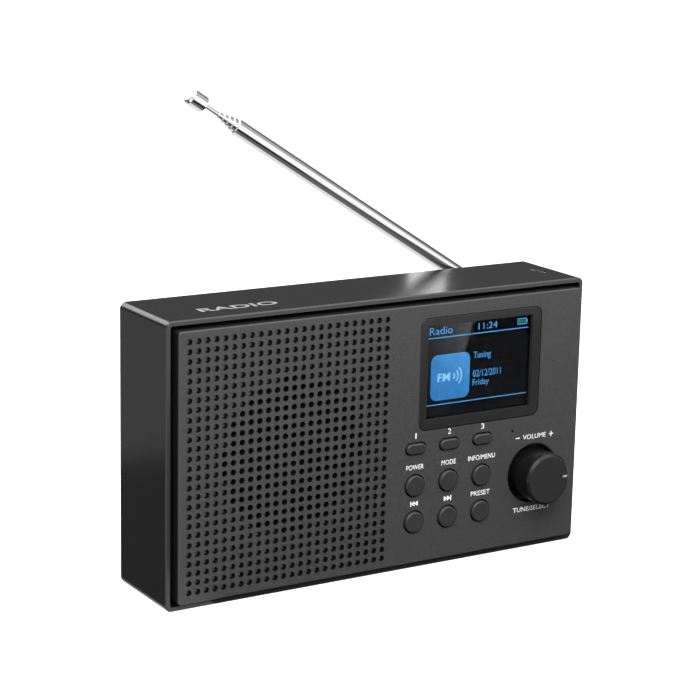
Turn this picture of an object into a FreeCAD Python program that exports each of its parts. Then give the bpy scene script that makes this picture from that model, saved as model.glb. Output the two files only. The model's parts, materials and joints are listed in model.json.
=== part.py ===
"""Portable tabletop radio: an assembly of separate parts, in millimetres.

Frame: +X to the right as seen from the front, +Y into the radio (the front faces -Y), +Z up.
The origin is on the table, below the middle of the whole radio, antenna folded up to the left.
"""
import FreeCAD, Part
import Sketcher
import math
import os

V = FreeCAD.Vector

DIMENSIONS = {
    # cabinet
    "cabinet_width": 153.6,
    "cabinet_height": 90.4,
    "cabinet_front": -13.0,
    "cabinet_back": 19.0,
    "side_wall": 1.5,
    "rear_wall": 2.0,
    "corner_round": 2.2,
    "rear_round": 1.0,
    "foot_height": 0.3,
    "foot_radius": 5.0,
    "foot_sink": 0.5,
    "foot_pitch_x": 118.0,
    "foot_front_y": -5.0,
    "foot_back_y": 12.0,
    # front panel
    "face": -16.0,
    "panel_thick": 2.6,
    "panel_gap": 1.25,
    "panel_round": 1.2,
    "panel_bevel": 0.35,
    "skirt_wall": 1.5,
    "skirt_depth": 8.0,
    "boss_radius": 2.2,
    "pilot_radius": 0.85,
    # grille
    "hole_pitch": 3.0,
    "hole_radius": 0.97,
    "dimple_depth": 2.05,
    "grille_left": -70.55,
    "grille_top": 84.65,
    "grille_open_radius": 24.45,
    # display
    "display_x": 34.6,
    "display_z": 65.2,
    "bezel_width": 46.8,
    "bezel_height": 36.5,
    "bezel_round": 2.7,
    "bezel_thick": 1.2,
    "bezel_gap": 0.15,
    "aperture_x": 34.3,
    "aperture_z": 65.6,
    "aperture_width": 40.6,
    "aperture_height": 30.6,
    "window_thick": 0.8,
    "lcd_width": 46.0,
    "lcd_height": 35.0,
    "lcd_thick": 2.4,
    "holder_wall": 1.6,
    # buttons
    "button_x": 23.2,
    "button_pitch": 12.9,
    "preset_z": 41.45,
    "upper_row_z": 29.2,
    "lower_row_z": 17.05,
    "button_travel": 0.5,
    "cap_radius": 3.45,
    "cap_proud": 0.95,
    "cap_clearance": 0.45,
    "oval_width": 7.2,
    "oval_height": 3.4,
    "flange_lip": 0.75,
    "flange_thick": 0.8,
    "stem_radius": 1.4,
    # tuning knob and encoder
    "knob_x": 57.1,
    "knob_z": 26.9,
    "knob_radius": 8.6,
    "knob_front": -25.0,
    "knob_back": -13.6,
    "knob_wall": 1.6,
    "knob_bevel": 0.9,
    "well_radius": 9.8,
    "well_floor": -12.6,
    "well_wall": 1.5,
    "shaft_radius": 3.0,
    "shaft_flat": 2.2,
    "encoder_half": 6.2,
    "encoder_front": -10.9,
    "rotor_radius": 4.5,
    "microphone_x": 48.1,
    "microphone_z": 42.35,
    # boards
    "board_thick": 1.6,
    "control_board_y": -5.0,
    "main_board_y": 4.0,
    # speaker
    "speaker_x": -34.55,
    "speaker_z": 45.65,
    "speaker_half": 29.0,
    "speaker_hole": 24.5,
    "cone_radius": 21.0,
    "magnet_radius": 16.0,
    # screws
    "case_screw_radius": 1.25,
    "case_head_radius": 2.4,
    "case_split_y": 6.0,
    # antenna
    "pivot_x": 65.5,
    "pivot_y": 23.35,
    "pivot_z": 78.65,
    "antenna_rise": 32.3,
    "tube_radius": 2.65,
    "tube_step": 0.4,
    "tube_start": 8.0,
    "tube_end": 118.5,
    "ring_length": 1.75,
    "slide_clearance": 0.05,
    "rod_radius": 0.75,
    "tip_radius": 2.65,
    "tip_length": 6.2,
    "tip_start": 131.5,
    "swivel_radius": 5.0,
    "swivel_shank": 2.5,
    # sockets
    "usb_x": 69.8,
    "usb_y": 2.5,
    "usb_length": 8.9,
    "usb_width": 3.2,
    "jack_x": 57.0,
    "jack_z": 30.0,
    "jack_bore": 1.8,
    "jack_barrel": 2.9,
}
ANTENNA_TUBES = 5


# ---------------------------------------------------------------- sizes that carry expressions

class Size:
    """A number that also keeps the spreadsheet expression it comes from."""

    def __init__(self, value, text):
        self.value = value
        self.text = text

    def _with(self, other, sign, value):
        return Size(value, f"({self.text} {sign} {size(other).text})")

    def __add__(self, other):
        return self._with(other, "+", self.value + size(other).value)

    def __sub__(self, other):
        return self._with(other, "-", self.value - size(other).value)

    def __mul__(self, other):
        return self._with(other, "*", self.value * size(other).value)

    def __truediv__(self, other):
        return self._with(other, "/", self.value / size(other).value)

    def __radd__(self, other):
        return size(other) + self

    def __rsub__(self, other):
        return size(other) - self

    def __rmul__(self, other):
        return size(other) * self

    def __neg__(self):
        return Size(-self.value, f"(-{self.text})")


def size(number):
    """A plain number as a Size; a Size stays as it is."""
    if isinstance(number, Size):
        return number
    return Size(float(number), f"({float(number):.6g})")


doc = FreeCAD.newDocument("tabletop_radio")
sheet = doc.addObject("Spreadsheet::Sheet", "Dims")
for row, (alias, number) in enumerate(DIMENSIONS.items(), start=1):
    sheet.set(f"A{row}", alias)
    sheet.set(f"B{row}", str(number))
    sheet.setAlias(f"B{row}", alias)
doc.recompute()


class Dims:
    """Gives each spreadsheet cell as a Size, by its alias."""

    def __getattr__(self, alias):
        return Size(float(DIMENSIONS[alias]), f"Dims.{alias}")


d = Dims()
NODES = []


def node(obj, label):
    """Names a finished part and keeps it for the export."""
    obj.Label = label
    NODES.append(obj)
    return obj


def bind(obj, prop, amount):
    obj.setExpression(prop, size(amount).text)


# ---------------------------------------------------------------- primitives and booleans

def box(name, x, y, z):
    """A box given by its (low, high) pair along each axis."""
    obj = doc.addObject("Part::Box", name)
    for prop, axis, (low, high) in zip(("Length", "Width", "Height"), "xyz", (x, y, z)):
        bind(obj, prop, size(high) - low)
        bind(obj, f"Placement.Base.{axis}", low)
    return obj


TURN_TO = {
    "x": FreeCAD.Rotation(V(0, 1, 0), 90),
    "y": FreeCAD.Rotation(V(1, 0, 0), -90),
    "z": FreeCAD.Rotation(),
}


def place(obj, axis, start, across):
    """Stands obj, made along its own +Z, along an axis: it starts at start; across gives the other two."""
    obj.Placement = FreeCAD.Placement(V(), TURN_TO[axis])
    others = [letter for letter in "xyz" if letter != axis]
    bind(obj, f"Placement.Base.{axis}", start)
    for letter, amount in zip(others, across):
        bind(obj, f"Placement.Base.{letter}", amount)
    return obj


def cylinder(name, axis, radius, span, across):
    """A cylinder along an axis, from span[0] to span[1]."""
    obj = doc.addObject("Part::Cylinder", name)
    bind(obj, "Radius", radius)
    bind(obj, "Height", size(span[1]) - span[0])
    return place(obj, axis, span[0], across)


def fuse(name, parts):
    obj = doc.addObject("Part::MultiFuse", name)
    obj.Shapes = parts
    obj.Refine = True
    return obj


def cut(name, base, tools):
    """base without the tools."""
    obj = doc.addObject("Part::Cut", name)
    obj.Base = base
    obj.Tool = tools[0] if len(tools) == 1 else fuse(name + "Tools", tools)
    return obj


def group(name, parts):
    """Separate solids that share one node."""
    obj = doc.addObject("Part::Compound", name)
    obj.Links = parts
    return obj


# ---------------------------------------------------------------- bodies, sketches and features

def new_body(name):
    return doc.addObject("PartDesign::Body", name)


def sketch_on(body, name, role, offset=0):
    """A sketch on one of the body's origin planes, moved along that plane's normal."""
    flat = body.newObject("Sketcher::SketchObject", name)
    flat.AttachmentSupport = [(next(f for f in body.Origin.OriginFeatures if f.Role == role), "")]
    flat.MapMode = "FlatFace"
    bind(flat, "AttachmentOffset.Base.z", offset)
    return flat


def hold(flat, kind, first, second, amount):
    """A dimension bound to its expression."""
    index = flat.addConstraint(Sketcher.Constraint(kind, *first, *second, size(amount).value))
    bind(flat, f"Constraints[{index}]", amount)


def hold_point(flat, edge, point, x, y):
    hold(flat, "DistanceX", (-1, 1), (edge, point), x)
    hold(flat, "DistanceY", (-1, 1), (edge, point), y)


def polygon(flat, points):
    """A closed outline of straight edges through the points."""
    corners = [V(size(x).value, size(y).value, 0) for x, y in points]
    first = flat.GeometryCount
    count = len(corners)
    for i in range(count):
        flat.addGeometry(Part.LineSegment(corners[i], corners[(i + 1) % count]))
    for i in range(count):
        flat.addConstraint(Sketcher.Constraint("Coincident", first + i, 2, first + (i + 1) % count, 1))
    for i, (x, y) in enumerate(points):
        hold_point(flat, first + i, 1, x, y)


def rounded_rectangle(flat, x, y, width, height, radius):
    """A rectangle about (x, y) with round corners; a radius of half its height makes a stadium."""
    half_x = size(width) / 2 - radius
    half_y = size(height) / 2 - radius
    r = size(radius).value
    first = flat.GeometryCount
    middle = V(size(x).value, size(y).value, 0)
    signs = [(1, 1), (-1, 1), (-1, -1), (1, -1)]
    centres = [middle + V(sx * half_x.value, sy * half_y.value, 0) for sx, sy in signs]
    for i, centre in enumerate(centres):
        circle = Part.Circle(centre, V(0, 0, 1), r)
        flat.addGeometry(Part.ArcOfCircle(circle, i * math.pi / 2, (i + 1) * math.pi / 2))
    straight = {}
    for i in range(4):
        start = flat.getPoint(first + i, 2)
        end = flat.getPoint(first + (i + 1) % 4, 1)
        if (end - start).Length > 1e-6:
            straight[i] = flat.addGeometry(Part.LineSegment(start, end))
    for i in range(4):
        after = first + (i + 1) % 4
        if i in straight:
            flat.addConstraint(Sketcher.Constraint("Tangent", first + i, 2, straight[i], 1))
            flat.addConstraint(Sketcher.Constraint("Tangent", straight[i], 2, after, 1))
        else:
            flat.addConstraint(Sketcher.Constraint("Tangent", first + i, 2, after, 1))
    index = flat.addConstraint(Sketcher.Constraint("Radius", first, r))
    bind(flat, f"Constraints[{index}]", radius)
    hold_point(flat, first, 3, size(x) + half_x, size(y) + half_y)
    hold_point(flat, first + 2, 3, size(x) - half_x, size(y) - half_y)


def circle(flat, x, y, radius):
    first = flat.GeometryCount
    flat.addGeometry(Part.Circle(V(size(x).value, size(y).value, 0), V(0, 0, 1), size(radius).value))
    index = flat.addConstraint(Sketcher.Constraint("Radius", first, size(radius).value))
    bind(flat, f"Constraints[{index}]", radius)
    hold_point(flat, first, 3, x, y)


def check_change(body, before, grows, name):
    """Stops when a feature added or removed nothing."""
    doc.recompute()
    change = body.Shape.Volume - before
    if (change > 0) != grows or abs(change) < 1e-6:
        raise RuntimeError(f"{body.Name}.{name} changed the volume by {change:.6f}")


def pad(body, name, front, back, draw):
    """Adds the outline that draw() makes, between two Y positions."""
    before = body.Shape.Volume if body.Tip else 0.0
    flat = sketch_on(body, name + "Sketch", "XZ_Plane", -size(back))
    draw(flat)
    feature = body.newObject("PartDesign::Pad", name)
    feature.Profile = flat
    bind(feature, "Length", size(back) - front)
    check_change(body, before, True, name)
    return feature


def pocket(body, name, front, back, draw):
    """Removes the outline that draw() makes, between two Y positions."""
    before = body.Shape.Volume
    flat = sketch_on(body, name + "Sketch", "XZ_Plane", -size(front))
    draw(flat)
    feature = body.newObject("PartDesign::Pocket", name)
    feature.Profile = flat
    bind(feature, "Length", size(back) - front)
    check_change(body, before, False, name)
    return feature


def turned(name, points, axis):
    """A body turned about its own X or Y axis; points are (along, out) for X and (out, along) for Y."""
    body = new_body(name)
    flat = sketch_on(body, name + "Sketch", "XY_Plane")
    polygon(flat, points)
    feature = body.newObject("PartDesign::Revolution", name + "Turn")
    feature.Profile = flat
    feature.ReferenceAxis = (flat, ["H_Axis" if axis == "x" else "V_Axis"])
    feature.Angle = 360
    doc.recompute()
    return body


def move(obj, x, y, z):
    for axis, amount in zip("xyz", (x, y, z)):
        bind(obj, f"Placement.Base.{axis}", amount)
    return obj


def round_edges(body, name, radius, wanted, kind="Fillet"):
    """Fillets or chamfers the edges of the body for which wanted(edge) is true."""
    doc.recompute()
    tip = body.Tip
    names = [f"Edge{i}" for i, edge in enumerate(tip.Shape.Edges, start=1) if wanted(edge)]
    if not names:
        raise RuntimeError(f"{body.Name}.{name} finds no edge")
    feature = body.newObject("PartDesign::" + kind, name)
    feature.Base = (tip, names)
    bind(feature, "Radius" if kind == "Fillet" else "Size", radius)
    doc.recompute()
    return feature


def lies_at(edge, axis, position, slack=0.01):
    """True when the whole edge lies in the plane across the axis at that position."""
    where = size(position).value
    bounds = edge.BoundBox
    low = getattr(bounds, axis + "Min")
    high = getattr(bounds, axis + "Max")
    return abs(low - where) < slack and abs(high - where) < slack


# ---------------------------------------------------------------- leads

def lead(name, points, radius):
    """A round wire along straight runs joined by tangent arcs."""
    corners = [V(*point) for point in points]
    runs = [(b - a).Length for a, b in zip(corners, corners[1:])]
    edges = []
    start = corners[0]
    for i in range(1, len(corners) - 1):
        inward = (corners[i] - corners[i - 1]).normalize()
        outward = (corners[i + 1] - corners[i]).normalize()
        half_turn = inward.getAngle(outward) / 2
        reach = 0.45 * min(runs[i - 1], runs[i])
        bend = reach / math.tan(half_turn)
        first = corners[i] - inward * reach
        last = corners[i] + outward * reach
        middle_way = (outward - inward).normalize()
        centre = corners[i] + middle_way * (bend / math.cos(half_turn))
        edges.append(Part.LineSegment(start, first).toShape())
        edges.append(Part.Arc(first, centre - middle_way * bend, last).toShape())
        start = last
    edges.append(Part.LineSegment(start, corners[-1]).toShape())
    path = Part.Wire(edges)
    ring = Part.Circle(corners[0], corners[1] - corners[0], radius)
    shape = path.makePipeShell([Part.Wire([ring.toShape()])], True, False)
    wanted = math.pi * radius ** 2 * path.Length
    if abs(shape.Volume - wanted) > 0.01 * wanted:
        raise RuntimeError(f"{name}: volume {shape.Volume:.2f}, section times length {wanted:.2f}")
    obj = doc.addObject("Part::Feature", name)
    obj.Shape = shape
    return obj


# ---------------------------------------------------------------- places worked out from the sheet

base_z = d.foot_height
top_z = d.foot_height + d.cabinet_height
middle_z = d.foot_height + d.cabinet_height / 2
inner_width = d.cabinet_width - 2 * d.side_wall
inner_height = d.cabinet_height - 2 * d.side_wall
panel_width = inner_width - 2 * d.panel_gap
panel_height = inner_height - 2 * d.panel_gap
panel_back = d.face + d.panel_thick
rear_inside = d.cabinet_back - d.rear_wall
control_front = d.control_board_y
control_back = d.control_board_y + d.board_thick
main_back = d.main_board_y + d.board_thick

CASE_POSTS = [(-69.0, 9.0), (69.0, 9.0), (-69.0, 81.0), (69.0, 62.0)]
CONTROL_POSTS = [(4.8, 34.5), (4.8, 8.5), (62.5, 42.5), (62.5, 8.5)]
MAIN_POSTS = [(6.0, 13.0), (62.0, 13.0), (6.0, 71.0), (58.0, 71.0)]
SPEAKER_POSTS = [(sx * 23.5, sz * 23.5) for sx in (-1, 1) for sz in (-1, 1)]

MICROPHONE = (d.microphone_x, d.microphone_z)
KNOB = (d.knob_x, d.knob_z)
PRESET_BUTTONS = {"preset_button_1": -1, "preset_button_2": 0, "preset_button_3": 1}
ROUND_BUTTONS = {
    "power_button": (-1, d.upper_row_z),
    "mode_button": (0, d.upper_row_z),
    "menu_button": (1, d.upper_row_z),
    "previous_button": (-1, d.lower_row_z),
    "next_button": (0, d.lower_row_z),
    "preset_list_button": (1, d.lower_row_z),
}


def button_place(column):
    return d.button_x + d.button_pitch * column


def circles(places, radius):
    """A drawing function for one circle at each place."""
    def draw(flat):
        for x, z in places:
            circle(flat, x, z, radius)
    return draw


# ---------------------------------------------------------------- cabinet

def make_cabinet():
    body = new_body("CabinetShell")
    pad(body, "Block", d.cabinet_front, d.cabinet_back,
        lambda s: rounded_rectangle(s, 0, middle_z, d.cabinet_width, d.cabinet_height, d.corner_round))
    round_edges(body, "RearRound", d.rear_round, lambda e: lies_at(e, "Y", d.cabinet_back))
    round_edges(body, "RimBevel", 0.4, lambda e: lies_at(e, "Y", d.cabinet_front), "Chamfer")
    pocket(body, "Inside", d.cabinet_front, rear_inside,
           lambda s: rounded_rectangle(s, 0, middle_z, inner_width, inner_height,
                                       d.corner_round - d.side_wall))
    pad(body, "CasePosts", d.case_split_y, rear_inside, circles(CASE_POSTS, d.case_head_radius + 1.1))
    pad(body, "MainPosts", main_back, rear_inside, circles(MAIN_POSTS, d.boss_radius))
    pocket(body, "CaseScrewHoles", d.case_split_y, d.cabinet_back,
           circles(CASE_POSTS, d.case_screw_radius + 0.15))
    pocket(body, "CaseHeadHoles", d.case_split_y + 2.4, d.cabinet_back,
           circles(CASE_POSTS, d.case_head_radius + 0.2))
    pocket(body, "MainPilots", main_back, main_back + 6.5, circles(MAIN_POSTS, d.pilot_radius))
    pocket(body, "SwivelHole", rear_inside, d.cabinet_back,
           circles([(d.pivot_x, d.pivot_z)], d.swivel_shank + 0.08))
    pocket(body, "JackHole", rear_inside, d.cabinet_back,
           circles([(d.jack_x, d.jack_z)], d.jack_barrel + 0.1))
    # a hooked rest that holds the folded antenna, and a pad beside the charging socket's board
    rest_top = d.pivot_z - d.tube_radius - 0.3
    pad(body, "AntennaRest", rear_inside + 1, d.pivot_y + 2.3,
        lambda s: rounded_rectangle(s, -46, rest_top - 1.1, 7, 2.2, 0.6))
    pad(body, "SocketPad", d.usb_y - 6.5, d.usb_y + 6.5,
        lambda s: polygon(s, [(72.65, 75), (76, 75), (76, 86), (72.65, 86)]))
    before = body.Shape.Volume
    flat = sketch_on(body, "SocketCutSketch", "XY_Plane", top_z + 1)
    rounded_rectangle(flat, d.usb_x, d.usb_y, d.usb_width + 0.3, d.usb_length + 0.3,
                      (d.usb_width + 0.3) / 2)
    feature = body.newObject("PartDesign::Pocket", "SocketCut")
    feature.Profile = flat
    bind(feature, "Length", d.side_wall + 2)
    check_change(body, before, False, "SocketCut")
    before = body.Shape.Volume
    flat = sketch_on(body, "FootSeatSketch", "XY_Plane", base_z)
    for x, y in FOOT_PLACES:
        circle(flat, x, y, d.foot_radius + 0.2)
    feature = body.newObject("PartDesign::Pocket", "FootSeats")
    feature.Profile = flat
    feature.Reversed = True
    bind(feature, "Length", d.foot_sink)
    check_change(body, before, False, "FootSeats")
    return node(body, "cabinet_shell")


FOOT_PLACES = [(d.foot_pitch_x / 2 * sx, y) for sx in (-1, 1) for y in (d.foot_front_y, d.foot_back_y)]


def make_feet():
    feet = [cylinder(f"Foot{i}", "z", d.foot_radius, (0, base_z + d.foot_sink), place_xy)
            for i, place_xy in enumerate(FOOT_PLACES)]
    return node(group("Feet", feet), "rubber_feet")


# ---------------------------------------------------------------- front panel

def grille_places(through):
    """Hole centres of the square grid, either those over the speaker or the blind ones around it."""
    columns, rows = 24, 27
    places = []
    for column in range(columns):
        for line in range(rows):
            x = d.grille_left + d.hole_pitch * column
            z = d.grille_top - d.hole_pitch * line
            away = math.hypot(x.value - d.speaker_x.value, z.value - d.speaker_z.value)
            if (away < d.grille_open_radius.value) == through:
                places.append((x.value, z.value))
    return places


def draw_holes(places):
    """A drawing function for a field of equal holes; too many to constrain one by one."""
    def draw(flat):
        for x, z in places:
            flat.addGeometry(Part.Circle(V(x, z, 0), V(0, 0, 1), d.hole_radius.value))
    return draw


def make_front_panel():
    body = new_body("FrontPanel")
    pad(body, "Plate", d.face, panel_back,
        lambda s: rounded_rectangle(s, 0, middle_z, panel_width, panel_height, d.panel_round))
    round_edges(body, "FaceBevel", d.panel_bevel, lambda e: lies_at(e, "Y", d.face), "Chamfer")

    def skirt(flat):
        rounded_rectangle(flat, 0, middle_z, panel_width, panel_height, d.panel_round)
        rounded_rectangle(flat, 0, middle_z, panel_width - 2 * d.skirt_wall,
                          panel_height - 2 * d.skirt_wall, 0.5)
    pad(body, "Skirt", panel_back - 0.5, d.face + d.skirt_depth, skirt)
    pad(body, "WellCup", panel_back - 0.5, d.well_floor + d.well_wall,
        circles([KNOB], d.well_radius + d.well_wall))
    pad(body, "CaseBosses", panel_back - 0.5, d.case_split_y - 0.05,
        circles(CASE_POSTS, d.boss_radius + 0.8))
    pad(body, "ControlBosses", panel_back - 0.5, control_front, circles(CONTROL_POSTS, d.boss_radius))
    pad(body, "SpeakerBosses", panel_back - 0.5, panel_back + 1,
        circles([(d.speaker_x + x, d.speaker_z + z) for x, z in SPEAKER_POSTS], d.boss_radius))
    pocket(body, "Well", d.face, d.well_floor, circles([KNOB], d.well_radius))
    pocket(body, "ShaftHole", d.well_floor, d.well_floor + d.well_wall,
           circles([KNOB], d.shaft_radius + 0.7))
    round_edges(body, "WellLip", 0.8,
                lambda e: lies_at(e, "Y", d.face) and isinstance(e.Curve, Part.Circle)
                and abs(e.Curve.Radius - d.well_radius.value) < 0.01)
    pocket(body, "BezelSeat", d.face, d.face + d.bezel_thick + 0.05,
           lambda s: rounded_rectangle(s, d.display_x, d.display_z, d.bezel_width + 2 * d.bezel_gap,
                                       d.bezel_height + 2 * d.bezel_gap, d.bezel_round + d.bezel_gap))
    pocket(body, "DisplayOpening", d.face + 0.1, panel_back,
           lambda s: rounded_rectangle(s, d.aperture_x, d.aperture_z, d.aperture_width + 2,
                                       d.aperture_height + 2, 1))
    pocket(body, "PresetHoles", d.face, panel_back, draw_preset_holes)
    pocket(body, "ButtonHoles", d.face, panel_back,
           circles([(button_place(column), z) for column, z in ROUND_BUTTONS.values()],
                   d.cap_radius + d.cap_clearance))
    pocket(body, "MicrophoneHole", d.face, panel_back, circles([MICROPHONE], 0.45))
    pocket(body, "ControlPilots", control_front - 5, control_front, circles(CONTROL_POSTS, d.pilot_radius))
    pocket(body, "CasePilots", d.case_split_y - 9, d.case_split_y,
           circles(CASE_POSTS, d.case_screw_radius))
    pocket(body, "SpeakerPilots", panel_back - 0.3, panel_back + 1,
           circles([(d.speaker_x + x, d.speaker_z + z) for x, z in SPEAKER_POSTS], d.pilot_radius))
    pocket(body, "Dimples", d.face, d.face + d.dimple_depth, draw_holes(grille_places(through=False)))
    pocket(body, "OpenHoles", d.face, panel_back, draw_holes(grille_places(through=True)))
    return node(body, "front_panel")


def draw_preset_holes(flat):
    height = d.oval_height + 2 * d.cap_clearance
    for column in PRESET_BUTTONS.values():
        rounded_rectangle(flat, button_place(column), d.preset_z,
                          d.oval_width + 2 * d.cap_clearance, height, height / 2)


# ---------------------------------------------------------------- display

def make_display():
    bezel = new_body("DisplayBezel")
    pad(bezel, "Frame", d.face, d.face + d.bezel_thick,
        lambda s: rounded_rectangle(s, d.display_x, d.display_z, d.bezel_width, d.bezel_height,
                                    d.bezel_round))
    round_edges(bezel, "FrameBevel", 0.2, lambda e: lies_at(e, "Y", d.face), "Chamfer")
    pocket(bezel, "Aperture", d.face, d.face + d.bezel_thick,
           lambda s: rounded_rectangle(s, d.aperture_x, d.aperture_z, d.aperture_width,
                                       d.aperture_height, 0.3))
    node(bezel, "display_bezel")

    window = new_body("DisplayWindow")
    front = d.face + d.bezel_thick + 0.05
    pad(window, "Sheet", front, front + d.window_thick,
        lambda s: rounded_rectangle(s, d.aperture_x, d.aperture_z, d.aperture_width + 1.7,
                                    d.aperture_height + 1.7, 0.8))
    node(window, "display_window")

    lcd_back = panel_back + d.lcd_thick
    lcd = new_body("LcdModule")
    pad(lcd, "Glass", panel_back, lcd_back,
        lambda s: rounded_rectangle(s, d.display_x, d.display_z, d.lcd_width, d.lcd_height, 0.6))
    node(lcd, "lcd_module")

    holder = new_body("LcdHolder")
    holder_width = d.lcd_width + 2 * d.holder_wall + 0.4
    holder_height = d.lcd_height + 2 * d.holder_wall + 0.4
    pad(holder, "Tray", panel_back, lcd_back + 1,
        lambda s: rounded_rectangle(s, d.display_x, d.display_z, holder_width, holder_height, 1.5))
    pocket(holder, "Seat", panel_back, lcd_back,
           lambda s: rounded_rectangle(s, d.display_x, d.display_z, d.lcd_width + 0.4,
                                       d.lcd_height + 0.4, 0.6))
    pocket(holder, "RibbonSlot", lcd_back, lcd_back + 1,
           lambda s: rounded_rectangle(s, d.display_x, d.display_z - 13, 14, 5, 0.5))
    node(holder, "lcd_holder")
    make_ribbon(lcd_back)


def make_ribbon(start_y):
    """A flat flexible cable from the back of the display down to the main board."""
    thick = 0.3
    z = d.display_z - 13
    flat_y = d.main_board_y - thick
    body = new_body("DisplayRibbon")
    flat = sketch_on(body, "RibbonSketch", "YZ_Plane", d.display_x - 6)
    polygon(flat, [
        (start_y, z - 1), (start_y + 6, z - 2), (flat_y - 2, z - 2), (flat_y, z - 4), (flat_y, z - 9),
        (flat_y + thick, z - 9), (flat_y + thick, z - 3.8), (flat_y - 1.9, z - 2 + thick),
        (start_y + 6, z - 2 + thick), (start_y, z - 1 + thick)])
    feature = body.newObject("PartDesign::Pad", "Ribbon")
    feature.Profile = flat
    feature.Length = 12
    check_change(body, 0.0, True, "Ribbon")
    node(body, "display_ribbon")


# ---------------------------------------------------------------- buttons

def make_button(label, draw_cap, draw_flange, x, z):
    """A cap with a retaining flange behind the panel and a stem down into its switch."""
    body = new_body("".join(word.capitalize() for word in label.split("_")))
    cap_front = d.face - d.cap_proud
    flange_front = panel_back + 0.4
    pad(body, "Cap", cap_front, flange_front + 0.3, draw_cap)
    round_edges(body, "CapRound", 0.55, lambda e: lies_at(e, "Y", cap_front))
    pad(body, "Flange", flange_front, flange_front + d.flange_thick, draw_flange)
    pad(body, "Stem", flange_front + 0.3, control_front - 2, circles([(x, z)], d.stem_radius))
    return node(body, label)


def make_buttons():
    lip = d.flange_lip + d.cap_clearance
    for label, column in PRESET_BUTTONS.items():
        x = button_place(column)

        def oval(grow):
            return lambda s: rounded_rectangle(s, x, d.preset_z, d.oval_width + 2 * grow,
                                               d.oval_height + 2 * grow, d.oval_height / 2 + grow)
        make_button(label, oval(size(0)), oval(lip), x, d.preset_z)
    for label, (column, z) in ROUND_BUTTONS.items():
        x = button_place(column)
        make_button(label, circles([(x, z)], d.cap_radius), circles([(x, z)], d.cap_radius + lip), x, z)


# ---------------------------------------------------------------- control board and what it carries

def button_centres():
    places = [(button_place(column), d.preset_z) for column in PRESET_BUTTONS.values()]
    return places + [(button_place(column), z) for column, z in ROUND_BUTTONS.values()]


def make_control_board():
    board = box("ControlBlank", (2.5, 65), (control_front, control_back), (5.5, 44.6))
    holes = [cylinder(f"ControlHole{i}", "y", 1.1, (control_front - 1, control_back + 1), place_xz)
             for i, place_xz in enumerate(CONTROL_POSTS)]
    node(cut("ControlBoard", board, holes), "control_board")

    switches = []
    for i, (x, z) in enumerate(button_centres()):
        case = box(f"SwitchCase{i}", (x - 3, x + 3), (control_front - 3.4, control_front), (z - 3, z + 3))
        bore = cylinder(f"SwitchBore{i}", "y", d.stem_radius + 0.1,
                        (control_front - 4, control_front - 1), (x, z))
        switches.append(cut(f"Switch{i}", case, [bore]))
    node(group("Switches", switches), "tact_switches")

    capsule = cylinder("Microphone", "y", 2.0, (panel_back, panel_back + 1.5), MICROPHONE)
    node(capsule, "microphone")

    screws = [screw(f"ControlScrew{i}", (x, z), control_back, -1, 6, d.pilot_radius, 1.9)
              for i, (x, z) in enumerate(CONTROL_POSTS)]
    node(group("ControlScrews", screws), "control_board_screws")


def screw(name, place_xz, seat, way, length, radius, head_radius):
    """A pan-head screw along Y whose head sits on seat; way is the Y direction its tip points."""
    x, z = place_xz
    tip = seat + way * length
    top = seat - way * 1.3
    shank_span = (tip, seat) if way < 0 else (seat, tip)
    head_span = (seat, top) if way < 0 else (top, seat)
    shank = cylinder(name + "Shank", "y", size(radius) - 0.03, shank_span, (x, z))
    head = cylinder(name + "Head", "y", head_radius, head_span, (x, z))
    slot_y = (top - 0.5, top + 0.1) if way < 0 else (top - 0.1, top + 0.5)
    slots = [box(name + "SlotA", (size(x) - 1.1, size(x) + 1.1), slot_y, (size(z) - 0.25, size(z) + 0.25)),
             box(name + "SlotB", (size(x) - 0.25, size(x) + 0.25), slot_y, (size(z) - 1.1, size(z) + 1.1))]
    return cut(name, fuse(name + "Blank", [shank, head]), slots)


# ---------------------------------------------------------------- tuning knob and encoder

def d_profile(name, radius, flat_x, span):
    """A round bar along Y about the knob's axis, with a flat on its +X side."""
    bar = cylinder(name + "Bar", "y", radius, span, KNOB)
    side = box(name + "Side", (d.knob_x + flat_x, d.knob_x + 5), (size(span[0]) - 1, size(span[1]) + 1),
               (d.knob_z - 5, d.knob_z + 5))
    return cut(name, bar, [side])


def make_encoder():
    case = box("EncoderCase", (d.knob_x - d.encoder_half, d.knob_x + d.encoder_half),
               (d.encoder_front, control_front), (d.knob_z - d.encoder_half, d.knob_z + d.encoder_half))
    bush = cylinder("EncoderBush", "y", d.shaft_radius + 0.4, (d.well_floor + 0.2, d.encoder_front + 0.1),
                    KNOB)
    bore = cylinder("EncoderBore", "y", d.shaft_radius + 0.05, (d.well_floor, control_front - 1),
                    KNOB)
    chamber = cylinder("EncoderChamber", "y", d.rotor_radius + 0.1,
                       (d.encoder_front + 0.9, control_front - 1.2), KNOB)
    node(cut("EncoderBody", fuse("EncoderBlank", [case, bush]), [bore, chamber]), "encoder_body")

    rotor_span = (d.encoder_front + 1, control_front - 1.3)
    disc = cylinder("RotorDisc", "y", d.rotor_radius, rotor_span, KNOB)
    rotor_bore = d_profile("RotorBore", d.shaft_radius + 0.05, d.shaft_flat + 0.05,
                           (rotor_span[0] - 1, rotor_span[1] + 1))
    node(cut("EncoderRotor", disc, [rotor_bore]), "encoder_rotor")

    shaft_front = d.knob_front + 3.5
    node(d_profile("EncoderShaft", d.shaft_radius, d.shaft_flat, (shaft_front, control_front - 1.8)),
         "encoder_shaft")


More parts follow.
